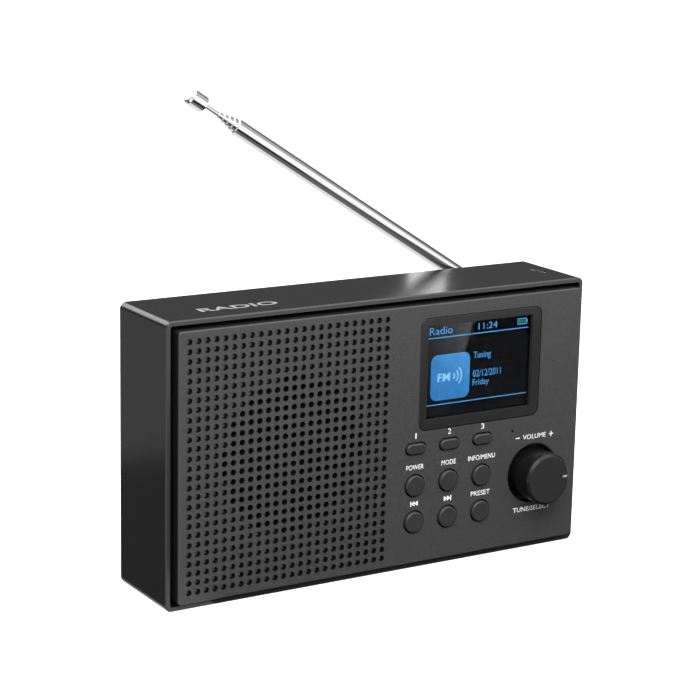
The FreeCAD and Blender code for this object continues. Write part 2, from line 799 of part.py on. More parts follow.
def make_knob():
    """A hollow turned knob with a hub round the shaft and a bevelled front edge."""
    front, back = d.knob_front, d.knob_back
    hub = d.shaft_radius + 1.6
    inside = d.knob_radius - d.knob_wall
    body = turned("TuningKnob", [
        (0, front), (d.knob_radius - d.knob_bevel, front), (d.knob_radius, front + d.knob_bevel),
        (d.knob_radius, back), (inside, back), (inside, front + 2), (hub, front + 2), (hub, back),
        (0, back)], "y")
    round_edges(body, "BevelEase", 0.25,
                lambda e: lies_at(e, "Y", front + d.knob_bevel) or lies_at(e, "Y", front))
    pocket(body, "IndicatorSeat", front, front + 0.4,
           lambda s: rounded_rectangle(s, d.knob_radius - 2.1, 0.45, 2.0, 0.8, 0.39))

    def bore(flat):
        radius = DIMENSIONS["shaft_radius"] + 0.01
        turn = math.degrees(math.acos((DIMENSIONS["shaft_flat"] + 0.01) / radius))
        round_part = Part.Circle(V(), V(0, 0, 1), radius)
        flat.addGeometry(Part.ArcOfCircle(round_part, math.radians(turn), math.radians(360 - turn)))
        flat.addGeometry(Part.LineSegment(flat.getPoint(0, 2), flat.getPoint(0, 1)))
        flat.addConstraint(Sketcher.Constraint("Coincident", 0, 2, 1, 1))
        flat.addConstraint(Sketcher.Constraint("Coincident", 1, 2, 0, 1))
    pocket(body, "ShaftBore", front + 3.4, back, bore)
    move(body, d.knob_x, 0, d.knob_z)
    node(body, "tuning_knob")

    inlay = new_body("KnobIndicator")
    pad(inlay, "Inlay", front + 0.05, front + 0.4,
        lambda s: rounded_rectangle(s, d.knob_radius - 2.1, 0.45, 1.9, 0.7, 0.34))
    move(inlay, d.knob_x, 0, d.knob_z)
    node(inlay, "knob_indicator")


# ---------------------------------------------------------------- speaker

def make_speaker():
    flange_front = panel_back + 1
    flange_back = flange_front + 1.2
    basket_back = size(1.0)
    here = (d.speaker_x, d.speaker_z)

    flange = new_body("SpeakerFrame")
    pad(flange, "Flange", flange_front, flange_back,
        lambda s: rounded_rectangle(s, *here, 2 * d.speaker_half, 2 * d.speaker_half, 8))
    pad(flange, "Basket", flange_back - 0.1, flange_back + 7, circles([here], d.speaker_hole + 1.6))
    pad(flange, "Seat", flange_back + 6.9, basket_back, circles([here], d.magnet_radius - 2))
    pocket(flange, "Throat", flange_front, flange_back + 6, circles([here], d.speaker_hole))
    pocket(flange, "CoilHole", flange_back + 5.9, basket_back, circles([here], 8.2))
    pocket(flange, "ScrewHoles", flange_front, flange_back,
           circles([(d.speaker_x + x, d.speaker_z + z) for x, z in SPEAKER_POSTS], d.pilot_radius + 0.4))
    windows = [(d.speaker_x + 19 * math.cos(a), d.speaker_z + 19 * math.sin(a))
               for a in (math.pi / 8 + k * math.pi / 4 for k in range(8))]
    pocket(flange, "Windows", flange_back + 5.9, flange_back + 7, circles(windows, 4))
    node(flange, "speaker_frame")

    magnet = new_body("SpeakerMagnet")
    pad(magnet, "Ring", basket_back, basket_back + 8, circles([here], d.magnet_radius))
    pad(magnet, "BackPlate", basket_back + 7.9, basket_back + 10, circles([here], d.magnet_radius - 2))
    pocket(magnet, "Gap", basket_back, basket_back + 6, circles([here], 8))
    pad(magnet, "Pole", basket_back, basket_back + 6, circles([here], 6.4))
    round_edges(magnet, "MagnetEase", 0.6, lambda e: lies_at(e, "Y", basket_back + 10))
    node(magnet, "speaker_magnet")

    cone_front = flange_front + 0.6
    cone_back = flange_back + 4.4
    coil_end = basket_back + 2
    cone_body = turned("SpeakerCone", [
        (d.cone_radius, cone_front), (7.2, cone_back), (7.2, coil_end), (7.7, coil_end),
        (7.7, cone_back + 0.1), (d.cone_radius, cone_front + 0.8)], "y")
    node(move(cone_body, d.speaker_x, 0, d.speaker_z), "speaker_cone")

    cap = turned("DustCap", [(0, cone_back - 4.2), (3, cone_back - 3.8), (5.4, cone_back - 2.6),
                             (7.1, cone_back - 0.3), (6.7, cone_back - 0.1), (5.1, cone_back - 2.2),
                             (2.9, cone_back - 3.4), (0, cone_back - 3.8)], "y")
    node(move(cap, d.speaker_x, 0, d.speaker_z), "speaker_dust_cap")

    ring = turned("Surround", [
        (d.cone_radius + 0.05, cone_front), (d.cone_radius + 0.6, cone_front - 0.9),
        (d.cone_radius + 1.7, cone_front - 1.3), (d.cone_radius + 2.8, cone_front - 0.9),
        (d.cone_radius + 3.4, cone_front), (d.cone_radius + 3.4, cone_front + 0.4),
        (d.cone_radius + 3.0, cone_front + 0.4), (d.cone_radius + 2.5, cone_front - 0.6),
        (d.cone_radius + 1.7, cone_front - 0.9), (d.cone_radius + 0.9, cone_front - 0.6),
        (d.cone_radius + 0.4, cone_front + 0.4), (d.cone_radius + 0.05, cone_front + 0.4)], "y")
    node(move(ring, d.speaker_x, 0, d.speaker_z), "speaker_surround")

    cloth = cylinder("GrilleCloth", "y", 25.4, (panel_back, panel_back + 0.2), here)
    node(cloth, "speaker_cloth")

    gasket = cut("Gasket", cylinder("GasketDisc", "y", 27.5, (panel_back, flange_front), here),
                 [cylinder("GasketHole", "y", 25.6, (panel_back - 1, flange_front + 1), here)])
    node(gasket, "speaker_gasket")

    screws = [screw(f"SpeakerScrew{i}", (d.speaker_x + x, d.speaker_z + z), flange_back, -1, 2.3,
                    d.pilot_radius, 1.9) for i, (x, z) in enumerate(SPEAKER_POSTS)]
    node(group("SpeakerScrews", screws), "speaker_screws")


# ---------------------------------------------------------------- main board, battery and sockets

def make_main_board():
    board = box("MainBlank", (2, 66), (d.main_board_y, main_back), (9, 75))
    holes = [cylinder(f"MainHole{i}", "y", 1.1, (d.main_board_y - 1, main_back + 1), place_xz)
             for i, place_xz in enumerate(MAIN_POSTS)]
    node(cut("MainBoard", board, holes), "main_board")

    chips = [
        box("TunerCan", (44, 60), (d.main_board_y - 2.6, d.main_board_y), (48, 64)),
        box("Processor", (12, 22), (d.main_board_y - 1.2, d.main_board_y), (20, 30)),
        box("Amplifier", (30, 37), (d.main_board_y - 1.4, d.main_board_y), (16, 22)),
        cylinder("Capacitor", "y", 3.1, (d.main_board_y - 7, d.main_board_y), (48, 20)),
        cylinder("CapacitorTwo", "y", 2.5, (d.main_board_y - 5.5, d.main_board_y), (48, 30)),
        box("RibbonSocket", (28, 42), (d.main_board_y - 1.0, d.main_board_y), (40, 43.2)),
    ]
    node(group("BoardParts", chips), "main_board_parts")

    screws = [screw(f"MainScrew{i}", (x, z), d.main_board_y, 1, 6.5, d.pilot_radius, 1.9)
              for i, (x, z) in enumerate(MAIN_POSTS)]
    node(group("MainScrews", screws), "main_board_screws")


def make_battery():
    body = new_body("Battery")
    pad(body, "Pouch", rear_inside - 8.5, rear_inside - 0.5,
        lambda s: rounded_rectangle(s, 28, 39, 36, 50, 2))
    round_edges(body, "PouchEase", 1.2, lambda e: lies_at(e, "Y", rear_inside - 8.5))
    node(body, "battery_pack")
    tape = box("BatteryTape", (14, 42), (rear_inside - 0.5, rear_inside), (18, 60))
    node(tape, "battery_tape")


def make_jack():
    body = new_body("HeadphoneJack")
    pad(body, "Case", main_back, rear_inside,
        lambda s: rounded_rectangle(s, d.jack_x, d.jack_z, 7, 6.6, 0.4))
    pad(body, "Barrel", rear_inside - 0.2, d.cabinet_back - 0.1,
        circles([(d.jack_x, d.jack_z)], d.jack_barrel))
    pocket(body, "Bore", main_back + 1, d.cabinet_back, circles([(d.jack_x, d.jack_z)], d.jack_bore))
    node(body, "headphone_jack")


def make_usb():
    """A charging socket that opens upwards through the cabinet's top, on a board of its own."""
    low, high = top_z - 8, top_z - 0.4
    body = new_body("ChargingSocket")

    def upright(kind, name, z, length, draw, grows):
        before = body.Shape.Volume if body.Tip else 0.0
        flat = sketch_on(body, name + "Sketch", "XY_Plane", z)
        draw(flat)
        feature = body.newObject("PartDesign::" + kind, name)
        feature.Profile = flat
        bind(feature, "Length", length)
        check_change(body, before, grows, name)
    upright("Pad", "Shell", low, high - low,
            lambda s: rounded_rectangle(s, d.usb_x, d.usb_y, d.usb_width, d.usb_length, d.usb_width / 2),
            True)
    upright("Pocket", "Mouth", high, 6.6,
            lambda s: rounded_rectangle(s, d.usb_x, d.usb_y, d.usb_width - 0.6, d.usb_length - 0.6,
                                        d.usb_width / 2 - 0.3), False)
    upright("Pad", "Tongue", high - 6.8, 5.8,
            lambda s: rounded_rectangle(s, d.usb_x, d.usb_y, 0.7, 6.7, 0.2), True)
    node(body, "charging_socket")
    board_x = d.usb_x + d.usb_width / 2
    board = box("SocketBoard", (board_x, 72.65), (d.usb_y - 6, d.usb_y + 6), (74, 88.4))
    node(board, "charging_board")


# ---------------------------------------------------------------- fasteners of the case

def make_case_screws():
    seat = d.case_split_y + 2.4
    screws = [screw(f"CaseScrew{i}", (x, z), seat, -1, 10, d.case_screw_radius, d.case_head_radius)
              for i, (x, z) in enumerate(CASE_POSTS)]
    node(group("CaseScrews", screws), "case_screws")


# ---------------------------------------------------------------- antenna

def antenna_place(obj):
    """Puts a part made about the origin, along +X, onto the antenna's pivot and direction."""
    obj.Placement = FreeCAD.Placement(V(), FreeCAD.Rotation(V(0, 1, 0), 180 + DIMENSIONS["antenna_rise"]))
    bind(obj, "Placement.Rotation.Angle", 180 + d.antenna_rise)
    return move(obj, d.pivot_x, d.pivot_y, d.pivot_z)


def tube_outer(index):
    """The outer radius of a telescopic tube; 0 is the widest."""
    return d.tube_radius - d.tube_step * index


def make_antenna_tubes():
    for index in range(ANTENNA_TUBES):
        outer = tube_outer(index)
        inner_part = tube_outer(index + 1) if index < ANTENNA_TUBES - 1 else d.rod_radius
        bore = inner_part + d.slide_clearance
        start = d.tube_start + 1.0 * index
        end = d.tube_end + d.ring_length * index
        ease = 0.12
        body = turned(f"AntennaTube{index + 1}", [
            (start, bore), (start, outer), (end - ease, outer), (end, outer - ease), (end, bore)], "x")
        node(antenna_place(body), f"antenna_tube_{index + 1}")


def make_antenna_rod():
    start = d.tube_start + 1.0 * ANTENNA_TUBES
    rod = turned("AntennaRod", [(start, 0), (start, d.rod_radius), (d.tip_start + 2, d.rod_radius),
                                (d.tip_start + 2, 0)], "x")
    node(antenna_place(rod), "antenna_rod")
    end = d.tip_start + d.tip_length
    hole = d.rod_radius + 0.01
    tip = turned("AntennaTip", [
        (d.tip_start, hole), (d.tip_start, d.tip_radius - 0.2), (d.tip_start + 0.2, d.tip_radius),
        (end - 0.9, d.tip_radius), (end - 0.25, d.tip_radius - 0.35), (end, d.tip_radius - 0.9), (end, 0),
        (d.tip_start + 2.02, 0), (d.tip_start + 2.02, hole)], "x")
    node(antenna_place(tip), "antenna_tip")


def make_antenna_joint():
    """The swivel that turns on the cabinet's back, the eye that tilts in it, and their pin and screw."""
    back = d.cabinet_back - d.pivot_y
    disc_top = back + 1.4
    ear_reach = size(2.6)
    disc = cylinder("SwivelDisc", "y", d.swivel_radius, (back + 0.3, disc_top), (0, 0))
    shank_end = back - d.rear_wall - 0.7
    shank = cylinder("SwivelShank", "y", d.swivel_shank, (shank_end, back + 0.3), (0, 0))
    hub = d.tube_radius - 0.15
    block = cylinder("EarRound", "z", ear_reach, (-3.1, 3.1), (0, 0))
    foot = box("EarFoot", (-ear_reach, ear_reach), (disc_top - 0.1, 0), (-3.1, 3.1))
    gap = box("EarGap", (-6, 6), (disc_top, 4), (-1.5, 1.5))
    pin_hole = cylinder("PinHole", "z", 0.9, (-4, 4), (0, 0))
    tapping = cylinder("SwivelTapping", "y", 1.0, (back - d.rear_wall - 1, back), (0, 0))
    blank = fuse("SwivelBlank", [disc, shank, block, foot])
    node(antenna_place(cut("AntennaSwivel", blank, [gap, pin_hole, tapping])), "antenna_swivel")

    pin = cylinder("HingePin", "z", 0.87, (-3.1, 3.1), (0, 0))
    node(antenna_place(group("AntennaPin", [pin])), "antenna_hinge_pin")

    tongue_round = cylinder("EyeRound", "z", hub - 0.5, (-1.2, 1.2), (0, 0))
    tongue = box("EyeTongue", (0, 5), (0.5 - hub, hub - 0.5), (-1.2, 1.2))
    collar = cylinder("EyeCollar", "x", d.tube_radius, (4.2, d.tube_start), (0, 0))
    eye_hole = cylinder("EyeHole", "z", 0.92, (-3, 3), (0, 0))
    eye = cut("AntennaEye", fuse("EyeBlank", [tongue_round, tongue, collar]), [eye_hole])
    node(antenna_place(eye), "antenna_eye")

    washer_front = shank_end - 0.4
    washer = cut("WasherCut", cylinder("WasherDisc", "y", 4.2, (washer_front, washer_front + 0.4), (0, 0)),
                 [cylinder("WasherHole", "y", 1.1, (washer_front - 1, washer_front + 1), (0, 0))])
    node(antenna_place(washer), "antenna_washer")
    fixing = fuse("FixingBlank", [
        cylinder("FixingHead", "y", 2.2, (washer_front - 1.3, washer_front), (0, 0)),
        cylinder("FixingShank", "y", 0.98, (washer_front - 0.1, back - 0.3), (0, 0))])
    cross = [box("FixingSlotA", (-1.1, 1.1), (washer_front - 1.4, washer_front - 0.8), (-0.25, 0.25)),
             box("FixingSlotB", (-0.25, 0.25), (washer_front - 1.4, washer_front - 0.8), (-1.1, 1.1))]
    node(antenna_place(cut("AntennaScrew", fixing, cross)), "antenna_screw")


def make_antenna_tag():
    """A contact ring round the swivel's shank, with a tail that takes the antenna's lead."""
    span = (rear_inside - 0.4, rear_inside)
    here = (d.pivot_x, d.pivot_z)
    ring = cylinder("TagRing", "y", 4.0, span, here)
    tail = box("TagTail", (d.pivot_x - 12, d.pivot_x - 3), span, (d.pivot_z - 1.5, d.pivot_z + 1.5))
    hole = cylinder("TagHole", "y", d.swivel_shank + 0.3, (rear_inside - 1, rear_inside + 1), here)
    node(cut("AntennaTag", fuse("TagBlank", [ring, tail]), [hole]), "antenna_tag")


# ---------------------------------------------------------------- leads

def make_leads():
    """The wires inside, each held at both ends, that run clear of everything between."""
    wire = 0.6
    board_back = DIMENSIONS["main_board_y"] + DIMENSIONS["board_thick"]
    board_edge_y = board_back - DIMENSIONS["board_thick"] / 2
    inside_y = DIMENSIONS["cabinet_back"] - DIMENSIONS["rear_wall"]
    flange_back = DIMENSIONS["face"] + DIMENSIONS["panel_thick"] + 2.2

    x = DIMENSIONS["speaker_x"] + DIMENSIONS["speaker_hole"] + 3.0
    speaker_wires = [lead(f"SpeakerWire{i}", [
        (x, flange_back, z), (x, -2, z), (x + 3.5, board_edge_y, z + 2), (2.0, board_edge_y, z + 2)], wire)
        for i, z in enumerate((41.8, 44.8))]
    node(group("SpeakerLead", speaker_wires), "speaker_lead")

    y = inside_y - 4.5
    battery_wires = [lead(f"BatteryWire{i}", [
        (x, y, 64), (x, y, 67.5), (x, y - 2, 70), (x, board_back, 70)], wire)
        for i, x in enumerate((28.0, 30.0))]
    node(group("BatteryLead", battery_wires), "battery_lead")

    x = DIMENSIONS["pivot_x"] - 10.5
    z = DIMENSIONS["pivot_z"]
    antenna_wire = lead("AntennaWire", [
        (x, inside_y - 0.4, z), (x, inside_y - 4.5, z), (x - 2, inside_y - 7.5, z - 6),
        (x - 2, board_back, z - 6)], wire)
    node(antenna_wire, "antenna_lead")

    y = DIMENSIONS["usb_y"] - 3
    charge_wires = [lead(f"ChargeWire{i}", [
        (72.0, y + step, 74), (72.0, y + step, 71 - step), (70.0, board_edge_y, 69.5 - step),
        (66.0, board_edge_y, 69.5 - step)], wire)
        for i, step in enumerate((0.0, 2.0))]
    node(group("ChargeLead", charge_wires), "charging_lead")


# ---------------------------------------------------------------- build, check and write

def build():
    make_cabinet()
    make_feet()
    make_front_panel()
    make_display()
    make_buttons()
    make_control_board()
    make_encoder()
    make_knob()
    make_speaker()
    make_main_board()
    make_battery()
    make_jack()
    make_usb()
    make_case_screws()
    make_antenna_tubes()
    make_antenna_rod()
    make_antenna_joint()
    make_antenna_tag()
    make_leads()
    doc.recompute()


def check():
    """Stops on any failed object or on a part with no valid shape."""
    for obj in doc.Objects:
        if "Invalid" in obj.State or "Error" in obj.State:
            raise RuntimeError(f"{obj.Name} failed: {obj.State}")
    for obj in NODES:
        shape = obj.Shape
        if shape.isNull() or not shape.isValid() or not shape.Solids:
            raise RuntimeError(f"{obj.Label} has no valid solid")


def write():
    os.makedirs("parts", exist_ok=True)
    for obj in NODES:
        obj.Shape.exportStep(os.path.join("parts", obj.Label + ".step"))


build()
check()
write()
print(f"{len(NODES)} parts written")
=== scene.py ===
"""Looks of the tabletop radio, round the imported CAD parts. Metres, in the CAD model's frame."""
import bmesh
import bpy
import json
import math
from mathutils import Matrix, Vector


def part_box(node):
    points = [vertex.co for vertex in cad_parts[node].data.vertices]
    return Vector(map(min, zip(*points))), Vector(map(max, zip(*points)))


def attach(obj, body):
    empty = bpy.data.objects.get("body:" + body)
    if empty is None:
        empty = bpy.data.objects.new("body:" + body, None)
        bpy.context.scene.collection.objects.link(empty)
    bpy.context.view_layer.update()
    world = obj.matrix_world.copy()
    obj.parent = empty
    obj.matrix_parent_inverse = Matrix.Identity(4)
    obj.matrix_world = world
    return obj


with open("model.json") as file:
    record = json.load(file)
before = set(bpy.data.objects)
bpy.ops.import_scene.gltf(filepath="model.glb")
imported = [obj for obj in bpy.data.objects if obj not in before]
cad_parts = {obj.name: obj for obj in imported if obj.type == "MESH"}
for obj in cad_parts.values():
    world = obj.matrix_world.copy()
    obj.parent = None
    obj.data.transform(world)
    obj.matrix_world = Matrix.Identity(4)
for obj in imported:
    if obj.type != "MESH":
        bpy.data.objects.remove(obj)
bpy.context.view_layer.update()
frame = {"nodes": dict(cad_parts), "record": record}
MM = 0.001


# ---------------------------------------------------------------- node trees

class Nodes:
    """Adds nodes to a tree and joins them up."""

    def __init__(self, tree):
        self.nodes = tree.nodes
        self.links = tree.links

    def feed(self, socket, value):
        """Links a socket to another node's output, or sets its value."""
        if isinstance(value, bpy.types.NodeSocket):
            self.links.new(value, socket)
        elif socket.type == "RGBA":
            socket.default_value = (*value[:3], 1.0)
        else:
            socket.default_value = value

    def add(self, kind, inputs=None, pick=0, **settings):
        """A new node with its settings and inputs; gives the output asked for."""
        made = self.nodes.new("ShaderNode" + kind)
        for name, value in settings.items():
            setattr(made, name, value)
        for socket, value in (inputs or {}).items():
            self.feed(made.inputs[socket], value)
        return made.outputs[pick]

    def math(self, operation, *values):
        """One step of arithmetic on numbers or sockets."""
        return self.add("Math", dict(enumerate(values)), operation=operation)

    def spread(self, value, low, high, to_low=0.0, to_high=1.0):
        """Maps low..high onto to_low..to_high, held at both ends, with a smooth middle."""
        inputs = {
            "Value": value, "From Min": low, "From Max": high, "To Min": to_low, "To Max": to_high}
        return self.add("MapRange", inputs, interpolation_type="SMOOTHSTEP")

    def mix(self, factor, first, second, blend="MIX"):
        """A colour: first where factor is 0, second where it is 1."""
        return self.add("Mix", {0: factor, 6: first, 7: second}, pick=2,
                        data_type="RGBA", blend_type=blend)

    def part(self, vector, axis):
        """The X, Y or Z part of a vector."""
        return self.add("SeparateXYZ", {0: vector}, pick=axis)


class Finish(Nodes):
    """A procedural material round one Principled shader. Lengths are in metres."""

    def __init__(self, name, **sockets):
        self.material = bpy.data.materials.new(name)
        self.material.use_nodes = True
        super().__init__(self.material.node_tree)
        self.shader = self.nodes["Principled BSDF"]
        self.set(**sockets)
        self.where = self.add("TexCoord", pick="Object")
        self.normal = None

    def set(self, **sockets):
        for name, value in sockets.items():
            self.feed(self.shader.inputs[name.replace("_", " ")], value)

    def noise(self, size, detail=3.0, rough=0.55, stretch=None):
        """Noise whose lumps are about size across; stretch scales the three axes first."""
        where = self.where
        if stretch:
            where = self.add("Mapping", {"Vector": where, "Scale": stretch})
        inputs = {"Vector": where, "Scale": 1 / size, "Detail": detail, "Roughness": rough}
        return self.add("TexNoise", inputs)

    def facing(self):
        """The Y part of the surface's own normal: -1 where it faces straight forward."""
        return self.part(self.add("TexCoord", pick="Normal"), "Y")

    def edges(self, radius):
        """1 on edges and 0 on flat surfaces; also rounds the edges that are shaded."""
        self.normal = self.add("Bevel", {"Radius": radius}, samples=4)
        flat = self.add("NewGeometry", pick="Normal")
        along = self.add("VectorMath", {0: self.normal, 1: flat}, pick="Value",
                         operation="DOT_PRODUCT")
        return self.spread(along, 0.995, 0.80, 0.0, 1.0)

    def bump(self, height, depth, strength=1.0):
        """Lays a height map on what is there already."""
        inputs = {"Height": height, "Distance": depth, "Strength": strength}
        if self.normal:
            inputs["Normal"] = self.normal
        self.normal = self.add("Bump", inputs)

    def done(self):
        if self.normal:
            self.feed(self.shader.inputs["Normal"], self.normal)
        return self.material


def shade(value, tint=(1.0, 1.0, 1.0)):
    """A grey, or a grey with a slight tint."""
    return tuple(value * part for part in tint)


# ---------------------------------------------------------------- materials

WARM_BLACK = (1.0, 0.985, 0.98)
SATIN = 0.001 * MM        # depth of the finest mould texture
SCREEN_CELL = 0.1275 * MM  # pitch of the screen's colour cells
HOLE_FLOOR_LIGHT = (0.8 * MM, 1.2 * MM)   # behind the panel's face: where the painted light on a blind hole's floor starts
PANEL_BACK = (2.3 * MM, 2.5 * MM)   # and where the panel's grey paint ends; deeper surfaces are left near black as painted shade


def moulded_plastic(name, tone, roughness=0.42, speckle=0.22, texture=0.004 * MM, shine=0.5,
                    side_shade=1.0):
    """Moulded ABS: fine eroded grain, faint flow marks, polished edges, a trace of dust.

    The last argument paints shade on surfaces that don't face forward: it is how much of the tone
    is left there."""
    it = Finish(name, IOR=1.5, Specular_IOR_Level=shine)
    worn = it.edges(0.12 * MM)
    fine = it.noise(0.22 * MM, detail=2.0)
    flow = it.noise(18 * MM, detail=2.0, stretch=(1.0, 1.0, 0.5))
    dark = shade(tone * (1 - speckle), WARM_BLACK)
    light = shade(tone * (1 + speckle), WARM_BLACK)
    body = it.mix(it.spread(fine, 0.3, 0.7), dark, light)
    body = it.mix(it.spread(flow, 0.35, 0.65, 0.0, 0.35), body, shade(tone * 1.12, WARM_BLACK))
    scuff = it.math("MULTIPLY", worn, it.spread(it.noise(1.5 * MM), 0.35, 0.65, 0.25, 1.0))
    body = it.mix(it.math("MULTIPLY", scuff, 0.45), body, shade(tone * 2.2 + 0.006, WARM_BLACK))
    # Painted shade: surfaces that don't face forward are darkened by the given share.
    if side_shade < 1.0:
        shaded_side_mask = it.spread(it.facing(), -0.9, -0.6)
        body = it.mix(shaded_side_mask, body, shade(side_shade), blend="MULTIPLY")
    matt = it.spread(fine, 0.3, 0.7, roughness - 0.04, roughness + 0.05)
    matt = it.math("SUBTRACT", matt, it.math("MULTIPLY", worn, 0.08))
    it.set(Base_Color=body, Roughness=matt)
    it.bump(fine, texture)
    return it.done()


def painted_panel(name, tone, bare_and_shade=0.003):
    """Textured grey paint on what faces forward, painted light on blind-hole floors; hole walls,
    side walls and deeper surfaces stay near black: unpainted plastic and painted shade.
    """
    it = Finish(name, IOR=1.5, Specular_IOR_Level=0.4)
    depth = it.part(it.where, "Y")
    face_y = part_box("front_panel")[0].y
    worn = it.edges(0.15 * MM)
    fine = it.noise(0.30 * MM, detail=3.0)
    broad = it.noise(25 * MM, detail=2.0)
    grit = it.spread(fine, 0.35, 0.65)
    paint = it.mix(grit, shade(tone * 0.70, WARM_BLACK), shade(tone * 1.38, WARM_BLACK))
    paint = it.mix(it.spread(broad, 0.35, 0.65, 0.0, 0.4), paint, shade(tone * 1.08, WARM_BLACK))
    paint = it.mix(it.math("MULTIPLY", worn, 0.4), paint, shade(tone * 2.0, WARM_BLACK))
    # Painted light: the floors of blind holes are 3 to 4 times lighter than the face.
    lit_hole_floor = it.spread(depth, face_y + HOLE_FLOOR_LIGHT[0], face_y + HOLE_FLOOR_LIGHT[1])
    paint = it.mix(lit_hole_floor, paint, it.mix(grit, shade(tone * 3.0), shade(tone * 4.0)))
    # Painted shade: hole walls, side walls and surfaces deeper than the plate, such as the knob
    # well's floor, stay near black.
    in_plate = it.spread(depth, face_y + PANEL_BACK[1], face_y + PANEL_BACK[0])
    paint_not_shade = it.math("MULTIPLY", it.spread(it.facing(), -0.45, -0.70), in_plate)
    it.set(Base_Color=it.mix(paint_not_shade, shade(bare_and_shade), paint))
    it.set(Roughness=it.spread(fine, 0.3, 0.7, 0.42, 0.55))
    it.bump(fine, 0.012 * MM)
    return it.done()


def chrome(name, colour=(0.85, 0.85, 0.86), roughness=0.02):
    """Bright plating: hairline rubbing along the tubes, finger marks and a few dull spots."""
    it = Finish(name, Metallic=1.0)
    hairline = it.noise(0.12 * MM, detail=2.0, stretch=(0.10, 1.0, 0.14))
    marks = it.spread(it.noise(5 * MM, detail=4.0), 0.52, 0.72)
    dull = it.spread(it.noise(0.6 * MM, detail=5.0), 0.66, 0.8)
    body = it.mix(it.math("MULTIPLY", dull, 0.3), colour, shade(0.62, (1.0, 0.97, 0.92)))
    lines = it.spread(hairline, 0.3, 0.7, roughness, roughness + 0.02)
    matt = it.math("ADD", lines, it.math("MULTIPLY", marks, 0.03))
    it.edges(0.08 * MM)
    it.set(Base_Color=body, Roughness=matt)
    it.bump(hairline, 0.0006 * MM)
    return it.done()


def brushed_metal(name, colour, roughness=0.3):
    """Plain turned or stamped metal with fine tool lines and slight tarnish."""
    it = Finish(name, Metallic=1.0)
    worn = it.edges(0.08 * MM)
    lines = it.noise(0.2 * MM, detail=3.0, stretch=(1.0, 0.15, 1.0))
    tarnish = it.spread(it.noise(2.5 * MM, detail=4.0), 0.45, 0.7)
    body = it.mix(it.math("MULTIPLY", tarnish, 0.35), colour, shade(0.5, colour))
    body = it.mix(it.math("MULTIPLY", worn, 0.4), body, shade(1.15, colour))
    it.set(Base_Color=body, Roughness=it.spread(lines, 0.3, 0.7, roughness - 0.06, roughness + 0.1))
    it.bump(lines, 0.003 * MM)
    return it.done()


def rubber(name, tone, roughness=0.75):
    """Soft black rubber with a powdery bloom."""
    it = Finish(name, IOR=1.45)
    worn = it.edges(0.15 * MM)
    fine = it.noise(0.3 * MM, detail=4.0)
    bloom = it.spread(it.noise(4 * MM, detail=4.0), 0.45, 0.75)
    body = it.mix(it.math("MULTIPLY", bloom, 0.3), shade(tone), shade(tone * 2.2))
    body = it.mix(it.math("MULTIPLY", worn, 0.3), body, shade(tone * 2.5))
    it.set(Base_Color=body, Roughness=it.spread(fine, 0.3, 0.7, roughness - 0.08, roughness + 0.1))
    it.bump(fine, 0.01 * MM)
    return it.done()


def clear_acrylic(name):
    """Clear window with a few faint wipe marks. Its gloss is left to the screen just behind it."""
    it = Finish(name, IOR=1.02, Transmission_Weight=1.0, Base_Color=(0.95, 0.96, 0.97))
    wipes = it.spread(it.noise(9 * MM, detail=5.0, stretch=(1.0, 1.0, 0.3)), 0.5, 0.75)
    it.set(Roughness=it.math("MULTIPLY", wipes, 0.004))
    return it.done()


def dark_screen(name):
    """The unlit face of a colour screen: glossy, near black, the cell pattern just showing."""
    it = Finish(name, IOR=1.5, Specular_IOR_Level=0.5)
    cells = it.add("TexChecker", {"Vector": it.where, "Scale": 1 / SCREEN_CELL}, pick="Fac")
    cloud = it.noise(12 * MM, detail=2.0)
    body = it.mix(cells, (0.0030, 0.0032, 0.0036), (0.0042, 0.0045, 0.0052))
    it.set(Base_Color=body, Roughness=it.spread(cloud, 0.3, 0.7, 0.03, 0.05))
    return it.done()


def screen_light(name, colour, strength, second=None):
    """Lit cells: colour broken by the dark grid between the cells, a little uneven.

    second = (another colour, the values of X + Z where the change to it starts and ends)."""
    it = Finish(name, Roughness=0.1, Specular_IOR_Level=0.2, Base_Color=shade(0.01))
    grid = it.add("TexChecker", {"Vector": it.where, "Scale": 1 / SCREEN_CELL}, pick="Fac")
    uneven = it.spread(it.noise(4 * MM, detail=2.0), 0.3, 0.7, 0.9, 1.08)
    if second:
        other, (start, end) = second
        diagonal = it.math("ADD", it.part(it.where, "X"), it.part(it.where, "Z"))
        colour = it.mix(it.spread(diagonal, start, end), colour, other)
    level = it.math("MULTIPLY", it.spread(grid, 0.0, 1.0, 0.9, 1.0), uneven)
    it.set(Emission_Color=colour, Emission_Strength=it.math("MULTIPLY", level, strength))
    return it.done()


def circuit_board(name):
    """Green solder resist with copper tracks showing through, on glass cloth."""
    it = Finish(name, IOR=1.55, Coat_Weight=0.4, Coat_Roughness=0.15)
    tracks = it.add("TexBrick", {"Vector": it.where, "Scale": 190.0, "Mortar Size": 0.06},
                    pick="Fac")
    weave = it.noise(0.25 * MM, detail=2.0)
    body = it.mix(it.math("MULTIPLY", tracks, 0.55), (0.006, 0.045, 0.020), (0.030, 0.110, 0.045))
    it.set(Base_Color=body, Roughness=it.spread(weave, 0.3, 0.7, 0.3, 0.45))
    it.bump(it.mix(0.7, weave, tracks), 0.02 * MM)
    return it.done()


